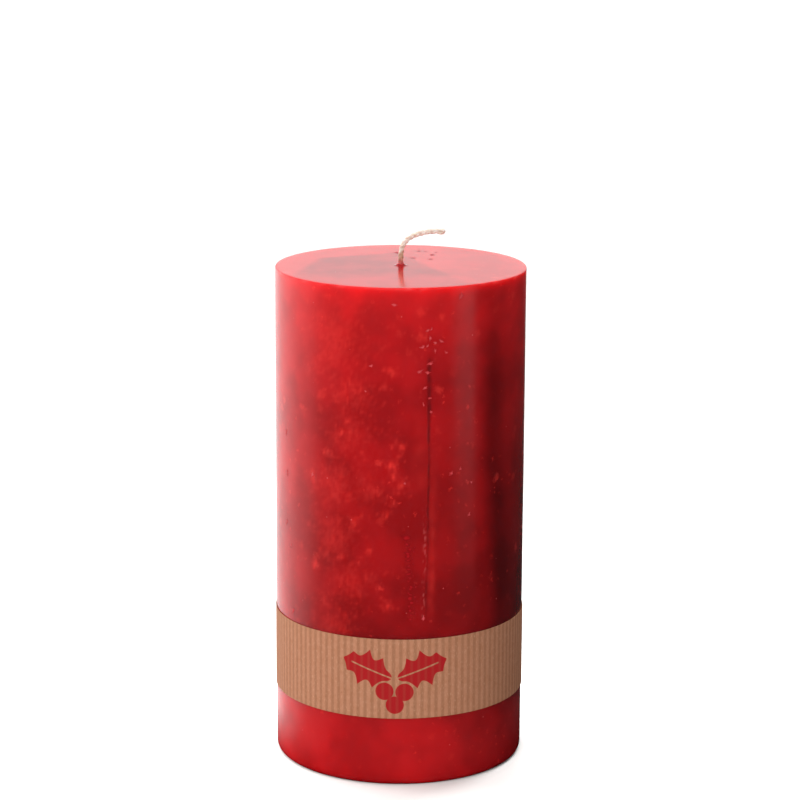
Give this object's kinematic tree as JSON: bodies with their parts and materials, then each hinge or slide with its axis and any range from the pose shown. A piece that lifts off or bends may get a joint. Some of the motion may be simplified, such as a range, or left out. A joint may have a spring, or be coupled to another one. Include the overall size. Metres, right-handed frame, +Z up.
{
  "type": "pillar candle",
  "caption": "Round pillar candle with a bent wick standing out of its flat top and a ribbed paper band round its lower part that slides off.",
  "frame": {"origin": "middle of the pillar's flat base, on its axis, where it stands on a table", "axes": "+Z up along the pillar's axis, towards the wick; +X the way the bent wick leans; +Y towards the back, where the paper band's ends overlap"},
  "size_m": [0.101, 0.1015, 0.215],
  "materials": {
    "wax": "translucent red wax, satin at the side and polished on the cut top",
    "wick": "flat plaited cotton, waxed, cream",
    "tinplate": "pressed tinplate",
    "paper": "matt ribbed kraft paper with a plain red print",
    "glue": "clear dried glue"
  },
  "bodies": {
    "candle": {"wax_pillar": "wax", "wick_foot": "tinplate", "wick_core": "wick"},
    "wick_end": {"wick_tip": "wick"},
    "band": {"paper_band": "paper", "band_seal": "glue"}
  },
  "joints": [
    {"name": "band_slide", "type": "slide", "parent": "candle", "child": "band", "axis": [0, 0, 1], "range_m": [-0.0275, 0.19]},
    {"name": "wick_bend", "type": "hinge", "parent": "candle", "child": "wick_end", "pos_m": [0, 0, 0.2011], "axis": [0, 1, 0], "range_deg": [-40, 25]}
  ]
}
